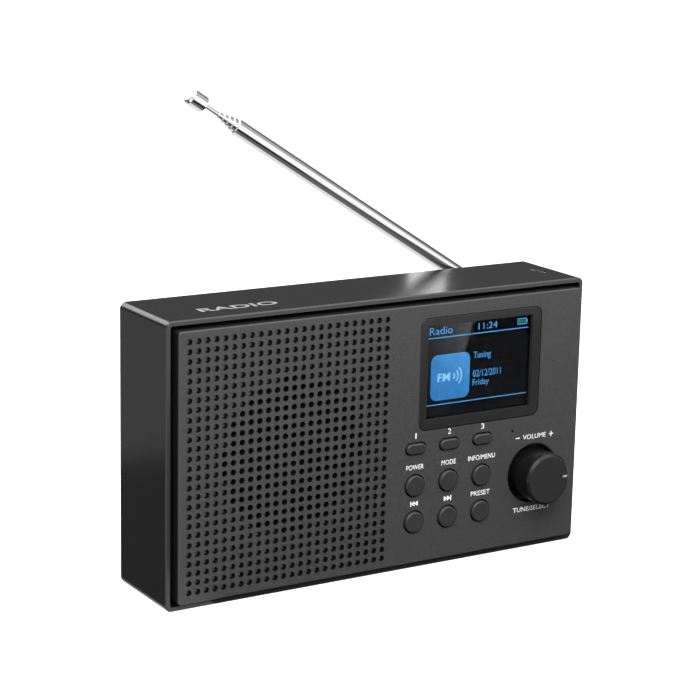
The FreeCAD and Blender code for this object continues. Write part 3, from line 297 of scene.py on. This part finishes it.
def woven_cloth(name, tone):
    """Thin black speaker cloth in a plain weave."""
    it = Finish(name, Sheen_Weight=0.15)
    threads = []
    for axis in ("X", "Z"):
        wave = it.add("TexWave", {"Vector": it.where, "Scale": 1 / (2.4 * MM), "Distortion": 0.3},
                      pick="Fac", bands_direction=axis)
        threads.append(wave)
    weave = it.math("MAXIMUM", *threads)
    fuzz = it.noise(0.3 * MM, detail=4.0)
    body = it.mix(it.math("MULTIPLY", weave, fuzz), shade(tone * 0.4), shade(tone * 1.6))
    it.set(Base_Color=body, Roughness=it.spread(fuzz, 0.3, 0.7, 0.8, 0.95))
    it.bump(weave, 0.05 * MM)
    return it.done()


def pulp_cone(name):
    """Pressed paper pulp, matt, with fibres."""
    it = Finish(name)
    fibres = it.noise(0.5 * MM, detail=6.0, stretch=(1.0, 1.0, 0.4))
    body = it.mix(it.spread(fibres, 0.35, 0.65), shade(0.012), shade(0.030, (1.0, 0.96, 0.9)))
    it.set(Base_Color=body, Roughness=it.spread(fibres, 0.3, 0.7, 0.75, 0.95))
    it.bump(fibres, 0.06 * MM)
    return it.done()


def ferrite(name):
    """Pressed ferrite: matt grey-black, chipped at its edges."""
    it = Finish(name, IOR=1.8)
    worn = it.edges(0.4 * MM)
    grit = it.noise(0.35 * MM, detail=5.0)
    body = it.mix(it.spread(grit, 0.35, 0.65), shade(0.02), shade(0.045))
    body = it.mix(it.math("MULTIPLY", worn, 0.5), body, shade(0.10))
    it.set(Base_Color=body, Roughness=it.spread(grit, 0.3, 0.7, 0.5, 0.7))
    it.bump(grit, 0.04 * MM)
    return it.done()


def pouch_film(name):
    """Aluminium laminate pouch: soft creases and a dull satin sheen."""
    it = Finish(name, Metallic=0.85)
    creases = it.noise(3.5 * MM, detail=6.0, stretch=(1.0, 1.0, 0.6))
    body = it.mix(it.spread(creases, 0.4, 0.6), (0.42, 0.43, 0.45), (0.60, 0.60, 0.61))
    it.set(Base_Color=body, Roughness=it.spread(creases, 0.3, 0.7, 0.28, 0.42))
    it.bump(creases, 0.12 * MM)
    return it.done()


def ribbon_film(name):
    """Amber film with copper lines along it."""
    it = Finish(name, IOR=1.65, Coat_Weight=0.5, Coat_Roughness=0.1)
    lines = it.add("TexWave", {"Vector": it.where, "Scale": 1 / (3.0 * MM)},
                   pick="Fac", bands_direction="X")
    body = it.mix(it.spread(lines, 0.35, 0.65), (0.20, 0.075, 0.012), (0.42, 0.20, 0.05))
    grime = it.noise(1.5 * MM)
    it.set(Base_Color=body, Roughness=it.spread(grime, 0.3, 0.7, 0.25, 0.4))
    it.bump(lines, 0.02 * MM)
    return it.done()


def lead_sleeve(name, colour):
    """Soft PVC sleeve, a little dusty."""
    it = Finish(name, IOR=1.5)
    dust = it.noise(0.8 * MM, detail=4.0)
    body = it.mix(it.spread(dust, 0.5, 0.75, 0.0, 0.3), colour, shade(0.25))
    it.set(Base_Color=body, Roughness=it.spread(dust, 0.3, 0.7, 0.35, 0.5))
    it.bump(dust, 0.01 * MM)
    return it.done()


def printing_ink(name, tone):
    """Pad-printed ink: thin at random spots, slightly raised."""
    it = Finish(name, IOR=1.5)
    thin = it.noise(0.25 * MM, detail=3.0)
    patchy = it.noise(2.0 * MM, detail=2.0)
    body = it.mix(it.spread(thin, 0.62, 0.8, 0.0, 0.5), shade(tone), shade(tone * 0.45))
    body = it.mix(it.spread(patchy, 0.4, 0.7, 0.0, 0.2), body, shade(tone * 0.8))
    it.set(Base_Color=body, Roughness=it.spread(thin, 0.3, 0.7, 0.4, 0.55))
    it.bump(thin, 0.004 * MM)
    return it.done()


FINISHES = {
    # Painted shade: the cabinet's surfaces that don't face forward keep a third of its tone.
    "cabinet_plastic": lambda name: moulded_plastic(
        name, 0.018, roughness=0.19, speckle=0.12, texture=SATIN, side_shade=0.33),
    "panel_plastic": lambda name: painted_panel(name, 0.028),
    "bezel_plastic": lambda name: moulded_plastic(
        name, 0.012, roughness=0.22, speckle=0.1, texture=SATIN, shine=0.25),
    "button_plastic": lambda name: moulded_plastic(
        name, 0.021, roughness=0.16, speckle=0.1, texture=SATIN),
    # Painted shade: the knob's surfaces that don't face forward keep a fifth of its tone.
    "knob_plastic": lambda name: moulded_plastic(
        name, 0.015, roughness=0.20, speckle=0.08, texture=SATIN, shine=0.25, side_shade=0.2),
    "inner_plastic": lambda name: moulded_plastic(name, 0.028, roughness=0.5),
    "switch_plastic": lambda name: moulded_plastic(name, 0.035, roughness=0.45),
    "indicator_inlay": lambda name: printing_ink(name, 0.25),
    "window_acrylic": clear_acrylic,
    "screen_glass": dark_screen,
    "antenna_chrome": chrome,
    "screw_steel": lambda name: brushed_metal(name, (0.55, 0.55, 0.56), 0.25),
    "screw_black": lambda name: brushed_metal(name, (0.06, 0.06, 0.065), 0.35),
    "part_metal": lambda name: brushed_metal(name, (0.60, 0.58, 0.54), 0.28),
    "speaker_steel": lambda name: brushed_metal(name, (0.30, 0.30, 0.31), 0.35),
    "foot_rubber": lambda name: rubber(name, 0.012),
    "surround_rubber": lambda name: rubber(name, 0.010),
    "magnet_ferrite": ferrite,
    "grille_cloth": lambda name: woven_cloth(name, 0.003),
    "cone_paper": pulp_cone,
    "ribbon_film": ribbon_film,
    "circuit_board": circuit_board,
    "battery_film": pouch_film,
    "lead_red": lambda name: lead_sleeve(name, (0.32, 0.012, 0.010)),
    "lead_black": lambda name: lead_sleeve(name, shade(0.015)),
}


def dress_cad_nodes():
    """Gives each CAD node the finish of its material slot in the record."""
    made = {}
    for part in frame["record"]["subparts"]:
        kind = part["material_slot"]
        if kind not in made:
            made[kind] = FINISHES[kind](kind)
        surface = frame["nodes"][part["node"]].data
        surface.materials.clear()
        surface.materials.append(made[kind])


# ---------------------------------------------------------------- flat pieces: printing and screen

def piece(name, mesh, material, body="cabinet"):
    """A finished mesh, in place, as a piece that rides a CAD body."""
    made = bpy.data.objects.new(name, mesh)
    bpy.context.scene.collection.objects.link(made)
    mesh.materials.clear()
    mesh.materials.append(material)
    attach(made, body)
    return made


def plates(name, outlines, back, thick, material):
    """Thin plates facing -Y. Each outline is a list of (x, z); back is the Y of their back side."""
    work = bmesh.new()
    for outline in outlines:
        rear = [work.verts.new((x, back, z)) for x, z in outline]
        front = [work.verts.new((x, back - thick, z)) for x, z in outline]
        work.faces.new(rear)
        work.faces.new(list(reversed(front)))
        count = len(outline)
        for i in range(count):
            j = (i + 1) % count
            work.faces.new((rear[j], rear[i], front[i], front[j]))
    bmesh.ops.recalc_face_normals(work, faces=work.faces)
    mesh = bpy.data.meshes.new(name)
    work.to_mesh(mesh)
    work.free()
    return piece(name, mesh, material)


def rectangle(x, z, width, height):
    """The outline of a rectangle about (x, z)."""
    w, h = width / 2, height / 2
    return [(x - w, z - h), (x + w, z - h), (x + w, z + h), (x - w, z + h)]


def round_rectangle(x, z, width, height, radius, steps=6):
    """The outline of a rectangle with round corners about (x, z)."""
    outline = []
    corners = [(1, 1), (-1, 1), (-1, -1), (1, -1)]
    for quarter, (sx, sz) in enumerate(corners):
        cx = x + sx * (width / 2 - radius)
        cz = z + sz * (height / 2 - radius)
        for step in range(steps + 1):
            turn = math.radians(90 * (quarter + step / steps))
            outline.append((cx + radius * math.cos(turn), cz + radius * math.sin(turn)))
    return outline


def arc_band(x, z, radius, thick, half_angle, steps=12):
    """Part of a ring that opens to +X, about (x, z)."""
    turns = [math.radians(half_angle * (2 * step / steps - 1)) for step in range(steps + 1)]
    outer, inner = radius + thick / 2, radius - thick / 2
    return ([(x + outer * math.cos(t), z + outer * math.sin(t)) for t in turns]
            + [(x + inner * math.cos(t), z + inner * math.sin(t)) for t in reversed(turns)])


def lettering_mesh(name, words, weight=0.0):
    """The words as a mesh in X and Y with some thickness; weight makes the strokes bolder."""
    curve = bpy.data.curves.new(name, "FONT")
    curve.body = words
    curve.offset = weight
    curve.extrude = 0.01
    curve.resolution_u = 3
    holder = bpy.data.objects.new(name, curve)
    bpy.context.scene.collection.objects.link(holder)
    bpy.context.view_layer.update()
    graph = bpy.context.evaluated_depsgraph_get()
    mesh = bpy.data.meshes.new_from_object(holder.evaluated_get(graph))
    bpy.data.objects.remove(holder)
    bpy.data.curves.remove(curve)
    return mesh


def lettering(name, words, centre, size, sink, thick, material, weight=0.0,
              towards=(0, -1, 0), up=(0, 0, 1)):
    """Words that fill size = (width, height) about centre, a point on the surface they are on.

    They start sink below that surface; towards is the way that it faces."""
    mesh = lettering_mesh(name, words, weight)
    points = [v.co.copy() for v in mesh.vertices]
    low = Vector([min(p[i] for p in points) for i in range(3)])
    high = Vector([max(p[i] for p in points) for i in range(3)])
    out, upward = Vector(towards), Vector(up)
    right = upward.cross(out)
    span = high - low
    for vertex, point in zip(mesh.vertices, points):
        share = [(point[i] - low[i]) / span[i] for i in range(3)]
        vertex.co = (Vector(centre) + right * size[0] * (share[0] - 0.5)
                     + upward * size[1] * (share[1] - 0.5) + out * (thick * share[2] - sink))
    mesh.name = name
    return piece(name, mesh, material)


INK_THICK = 0.02 * MM
INK_SINK = 0.004 * MM


def centre_of(node):
    """The middle of a CAD node's box."""
    low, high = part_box(node)
    return (low + high) / 2


def print_legends(ink):
    """The white printing on the front panel, placed from the keys and the knob that it names."""
    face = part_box("front_panel")[0].y
    capital = 1.6 * MM

    def legend(name, words, x, z, width, height=capital):
        lettering(name, words, (x, face, z), (width, height), INK_SINK, INK_THICK,
                  ink)

    for number in (1, 2, 3):
        key = centre_of(f"preset_button_{number}")
        width = 0.4 * MM if number == 1 else 1.15 * MM
        legend(f"legend_preset_{number}", str(number), key.x, key.z + 4.2 * MM, width, 1.8 * MM)
    above = 6.1 * MM
    for node, words, width in (
        ("power_button", "POWER", 6.6 * MM),
        ("mode_button", "MODE", 5.55 * MM),
        ("menu_button", "INFO/MENU", 10.5 * MM),
        ("preset_list_button", "PRESET", 7.5 * MM),
    ):
        key = centre_of(node)
        legend("legend_" + node, words, key.x, key.z + above, width)
    for node, way in (("previous_button", -1), ("next_button", 1)):
        key = centre_of(node)
        x, z = key.x, key.z + above
        tall, deep, bar = 1.75 * MM, 1.25 * MM, 0.32 * MM
        start = x - way * (2 * deep + bar) / 2
        outlines = []
        for step in (0, 1):
            base = start + way * step * deep
            outlines.append([(base, z - tall / 2), (base + way * deep, z), (base, z + tall / 2)])
        outlines.append(rectangle(start + way * (2 * deep + bar / 2), z, bar, tall))
        plates("legend_" + node, outlines, face + INK_SINK, INK_THICK, ink)
    knob = centre_of("tuning_knob")
    level = knob.z + 12.75 * MM
    stroke = 0.3 * MM
    legend("legend_volume", "VOLUME", knob.x, level, 9.3 * MM)
    minus = rectangle(knob.x - 6.75 * MM, level, 1.6 * MM, stroke)
    plates("legend_quieter", [minus], face + INK_SINK, INK_THICK, ink)
    plus_x, arm = knob.x + 6.8 * MM, 1.7 * MM
    plus = [rectangle(plus_x, level, arm, stroke)]
    for side in (-1, 1):
        stub = level + side * (arm + stroke) / 4
        plus.append(rectangle(plus_x, stub, stroke, (arm - stroke) / 2))
    plates("legend_louder", plus, face + INK_SINK, INK_THICK, ink)
    legend("legend_tune", "TUNE/SELECT", knob.x, knob.z - 12.0 * MM, 15.0 * MM)


def print_top_word(ink):
    """A plain word on the top, near the front left corner."""
    low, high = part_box("cabinet_shell")
    centre = (low.x + 29.5 * MM, low.y + 10.0 * MM, high.z)
    lettering("top_word", "RADIO", centre, (27 * MM, 4.4 * MM), INK_SINK, INK_THICK, ink,
              weight=0.02, towards=(0, 0, 1), up=(0, 1, 0))


def draw_screen():
    """What the screen shows: thin lit plates just in front of the screen's own face."""
    low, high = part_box("lcd_module")
    middle = (low + high) / 2
    gap, thick = 0.02 * MM, 0.02 * MM
    back = low.y - gap
    blue = screen_light("screen_blue", (0.07, 0.38, 0.85), 1.0)
    green = screen_light("screen_green", (0.03, 0.30, 0.10), 0.8)
    left, right = middle.x - 20.1 * MM, middle.x + 20.1 * MM
    top, bottom = middle.z + 10.95 * MM, middle.z - 11.05 * MM
    rule = 0.3 * MM
    lines = [rectangle((left + right) / 2, z, right - left, rule) for z in (top, bottom)]
    plates("screen_rules", lines, back, thick, blue)

    def words(name, text, x, z, material=blue, weight=0.0, lift=0.0):
        """Text that fills the (low, high) pairs x and z."""
        centre = (sum(x) / 2, back - lift, sum(z) / 2)
        lettering(name, text, centre, (x[1] - x[0], z[1] - z[0]), 0.0, thick,
                  material, weight)

    head = top + 1.05 * MM
    words("screen_mode", "Radio", (left + 1.6 * MM, left + 10.4 * MM), (head, head + 2.45 * MM))
    words("screen_clock", "11:24", (middle.x + 0.3 * MM, middle.x + 7.7 * MM),
          (head + 0.1 * MM, head + 2.2 * MM))
    column = middle.x - 1.3 * MM
    for name, text, width, z_low, z_high in (
        ("screen_state", "Tuning", 6.8, 2.0, 4.9),
        ("screen_date", "02/12/2011", 11.0, -3.5, -1.2),
        ("screen_day", "Friday", 6.4, -6.9, -4.2),
    ):
        words(name, text, (column, column + width * MM),
              (middle.z + z_low * MM, middle.z + z_high * MM))

    tile_x, tile_z, tile = middle.x - 10.1 * MM, middle.z - 2.25 * MM, 15.0 * MM
    dim, bright = (0.018, 0.195, 0.53), (0.045, 0.29, 0.66)
    corner_sum = tile_x + tile_z
    across = (corner_sum - tile / 2, corner_sum + tile)
    tile_light = screen_light("screen_tile_light", dim, 1.0, (bright, across))
    tile_outline = round_rectangle(tile_x, tile_z, tile, tile, 2.4 * MM)
    plates("screen_tile", [tile_outline], back, thick, tile_light)
    pale = screen_light("screen_pale", (0.30, 0.66, 1.0), 1.0)
    lift = thick + gap
    words("screen_band", "FM", (tile_x - 4.9 * MM, tile_x - 0.1 * MM),
          (tile_z - 1.35 * MM, tile_z + 1.35 * MM), pale, weight=0.02, lift=lift)
    waves = [arc_band(tile_x + 0.2 * MM, tile_z, (1.4 + 1.35 * step) * MM, 0.5 * MM, 40)
             for step in range(3)]
    plates("screen_waves", waves, back - lift, thick, pale)

    cell_x, cell_z = right - 2.6 * MM, head + 1.15 * MM
    cell_wide, cell_high, wall = 3.6 * MM, 2.0 * MM, 0.25 * MM
    outline = [
        rectangle(cell_x, cell_z + (cell_high - wall) / 2, cell_wide, wall),
        rectangle(cell_x, cell_z - (cell_high - wall) / 2, cell_wide, wall),
        rectangle(cell_x - (cell_wide - wall) / 2, cell_z, wall, cell_high - 2 * wall),
        rectangle(cell_x + (cell_wide - wall) / 2, cell_z, wall, cell_high - 2 * wall),
        rectangle(cell_x + cell_wide / 2 + 0.2 * MM, cell_z, 0.3 * MM, 0.9 * MM),
    ]
    plates("screen_battery", outline, back, thick, blue)
    bars = [rectangle(cell_x + step * 0.95 * MM, cell_z, 0.6 * MM, cell_high - 4 * wall)
            for step in (-1, 0, 1)]
    plates("screen_charge", bars, back, thick, green)


# ---------------------------------------------------------------- studio

def sheet_mesh(name, corners):
    """A flat sheet through its corners."""
    mesh = bpy.data.meshes.new(name)
    mesh.from_pydata([tuple(corner) for corner in corners], [], [list(range(len(corners)))])
    return mesh


def add_floor():
    """A plain white floor, lit through so that it hardly takes a shadow."""
    mesh = sheet_mesh("floor", [(-3, -3, 0), (3, -3, 0), (3, 3, 0), (-3, 3, 0)])
    floor = bpy.data.objects.new("floor", mesh)
    bpy.context.scene.collection.objects.link(floor)
    it = Finish("floor_paint", Roughness=0.9, Emission_Strength=1.15, Specular_IOR_Level=0.1)
    cloud = it.noise(0.3, detail=3.0)
    white = it.mix(it.spread(cloud, 0.3, 0.7), shade(0.84), shade(0.88))
    it.set(Base_Color=it.mix(0.5, white, shade(0.4)), Emission_Color=white)
    mesh.materials.append(it.done())
    floor.visible_glossy = False
    floor.visible_diffuse = False


def add_card(name, corners, tone, fade=None):
    """A studio card that is only seen in reflections.

    fade = (low X, low Z, share of the tone left there) dims it to the left and downwards."""
    mesh = sheet_mesh(name, corners)
    card = bpy.data.objects.new(name, mesh)
    bpy.context.scene.collection.objects.link(card)
    it = Finish(name + "_card", Roughness=0.9, Specular_IOR_Level=0.0, Base_Color=shade(0.0))
    cloud = it.noise(0.1, detail=2.0)
    level = it.spread(cloud, 0.0, 1.0, tone * 0.9, tone * 1.1)
    if fade:
        for axis, index in (("X", 0), ("Z", 2)):
            far = max(corner[index] for corner in corners)
            near = fade[0] if axis == "X" else fade[1]
            share = it.spread(it.part(it.where, axis), near, far, fade[2], 1.0)
            level = it.math("MULTIPLY", level, share)
    it.set(Emission_Color=shade(1.0), Emission_Strength=level)
    mesh.materials.append(it.done())
    for ray in ("camera", "diffuse", "shadow", "volume_scatter"):
        setattr(card, "visible_" + ray, False)


def add_cards():
    """Cards round the radio's foot, in front of the window and behind the top. Lengths in mm."""
    front = [(-60, 20), (-60, -200), (-20, -235), (60, -230), (130, -190), (180, -120),
             (200, -40), (200, 20)]
    left = [(-350, 140), (-350, -10), (-78, -10), (-78, 140)]
    above_floor = 0.5
    for name, outline, tone in (("dark_front", front, 0.03), ("dark_left", left, 0.10)):
        add_card(name, [(x * MM, y * MM, above_floor * MM) for x, y in outline], tone)

    # Mirrored in the window: clear on the right, and a glare with a slanted edge on the left.
    ahead = -100
    screen = [(83, 22), (140, 22), (140, 57), (94, 57)]
    add_card("dark_screen", [(x * MM, ahead * MM, z * MM) for x, z in screen], 0.02)
    glare = [(30, 22), (83, 22), (94, 57), (30, 57)]
    add_card("glare_screen", [(x * MM, ahead * MM, z * MM) for x, z in glare], 1.5,
             fade=(70 * MM, 22 * MM, 0.2))

    # Mirrored in the top: an upright strip behind it.
    middle, side = Vector((93, 104, 114)) * MM, Vector((0.83, -0.56, 0.0)) * 7 * MM
    rise = Vector((0.0, 0.0, 22 * MM))
    strip = [middle - side - rise, middle + side - rise, middle + side + rise, middle - side + rise]
    add_card("light_strip", strip, 2.0)


WORLD_BASE = 0.12      # the level where nothing else shines
WORLD_DIFFUSE = 0.4    # how much of the world lights matt surfaces
# Soft boxes in the world: the way to the middle, the cosines where it starts and is full, level.
SOFT_BOXES = (
    ((-0.38, -0.70, 0.60), 0.88, 0.97, 2.5),
    ((-0.20, 0.83, 0.53), 0.92, 0.98, 3.0),
)


def add_world():
    """White behind the object; for light and reflections, a studio bright above and in front."""
    world = bpy.data.worlds.new("studio")
    world.use_nodes = True
    bpy.context.scene.world = world
    it = Nodes(world.node_tree)
    toward = it.add("TexCoord", pick="Generated")
    x, y, z = (it.part(toward, axis) for axis in "XYZ")

    def both(first, second):
        return it.math("MULTIPLY", first, second)

    def either(first, second):
        return it.math("ADD", first, second)

    front = it.spread(y, 0.15, -0.35)
    behind = it.math("SUBTRACT", 1.0, front)
    low = it.spread(z, 0.02, -0.10)
    right = both(it.spread(x, 0.2, 0.5), it.spread(z, 0.38, 0.22))
    left = it.spread(x, 0.05, -0.25)

    overhead = either(it.spread(z, 0.4, 0.65, 0.0, 0.7), it.spread(z, 0.6, 0.85, 0.0, 2.0))
    ahead = both(front, it.spread(it.math("MAXIMUM", low, right), 0.0, 1.0, 0.35, 1.0))
    rear_low = either(both(low, 0.22), it.spread(z, -0.35, -0.6, 0.0, 0.5))
    rear_left = both(left, it.spread(z, 0.2, 0.35, 0.0, 0.55))
    rear = both(behind, either(rear_low, rear_left))
    level = either(either(overhead, ahead), either(rear, WORLD_BASE))
    for way, start, full, most in SOFT_BOXES:
        near = it.add("VectorMath", {0: toward, 1: way}, pick="Value", operation="DOT_PRODUCT")
        level = either(level, it.spread(near, start, full, 0.0, most))

    diffuse = it.add("LightPath", pick="Is Diffuse Ray")
    level = both(level, it.spread(diffuse, 0.0, 1.0, 1.0, WORLD_DIFFUSE))
    seen = it.add("LightPath", pick="Is Camera Ray")
    background = world.node_tree.nodes["Background"]
    it.feed(background.inputs["Color"], shade(1.0))
    it.feed(background.inputs["Strength"], it.math("MAXIMUM", level, seen))


def add_light(name, place, size, power, aim=(0.0, 0.0, 0.06)):
    """A soft area light that points at the radio; the world stands in for it in reflections."""
    data = bpy.data.lights.new(name, "AREA")
    data.shape = "RECTANGLE"
    data.size, data.size_y = size
    data.energy = power
    lamp = bpy.data.objects.new(name, data)
    lamp.location = place
    lamp.rotation_euler = (Vector(aim) - Vector(place)).to_track_quat("-Z", "Y").to_euler()
    lamp.visible_glossy = False
    bpy.context.scene.collection.objects.link(lamp)


CAMERA_TURNS = (-31.80, 13.425, 1.253)       # azimuth, elevation and roll, degrees
CAMERA_PLACE = (-354.93, -564.18, 230.38)    # mm
CAMERA_LENS, CAMERA_SENSOR = 110.67, 36.0    # mm


def add_camera():
    """The main view: azimuth 0 looks along +Y, 90 along -X."""
    azimuth, elevation, roll = (math.radians(turn) for turn in CAMERA_TURNS)
    data = bpy.data.cameras.new("camera")
    data.sensor_width = CAMERA_SENSOR
    data.lens = CAMERA_LENS
    camera = bpy.data.objects.new("camera", data)
    level = Vector((math.cos(azimuth), math.sin(azimuth), 0.0))
    outward = Vector((math.sin(azimuth), -math.cos(azimuth), 0.0))
    back = outward * math.cos(elevation) + Vector((0.0, 0.0, math.sin(elevation)))
    upright = back.cross(level)
    right = level * math.cos(roll) + upright * math.sin(roll)
    turn = Matrix((right, back.cross(right), back)).transposed().to_4x4()
    camera.matrix_world = Matrix.Translation(Vector(CAMERA_PLACE) * MM) @ turn
    bpy.context.scene.collection.objects.link(camera)
    bpy.context.scene.camera = camera


dress_cad_nodes()
print_legends(printing_ink("legend_ink", 0.70))
print_top_word(printing_ink("top_ink", 0.24))
draw_screen()
add_floor()
add_world()
add_cards()
add_light("key", (-0.17, -0.42, 0.40), (0.45, 0.45), 7.0)
add_light("fill", (0.95, -0.45, 0.45), (0.5, 0.9), 1.0)
add_camera()
bpy.context.scene.view_settings.view_transform = "Standard"
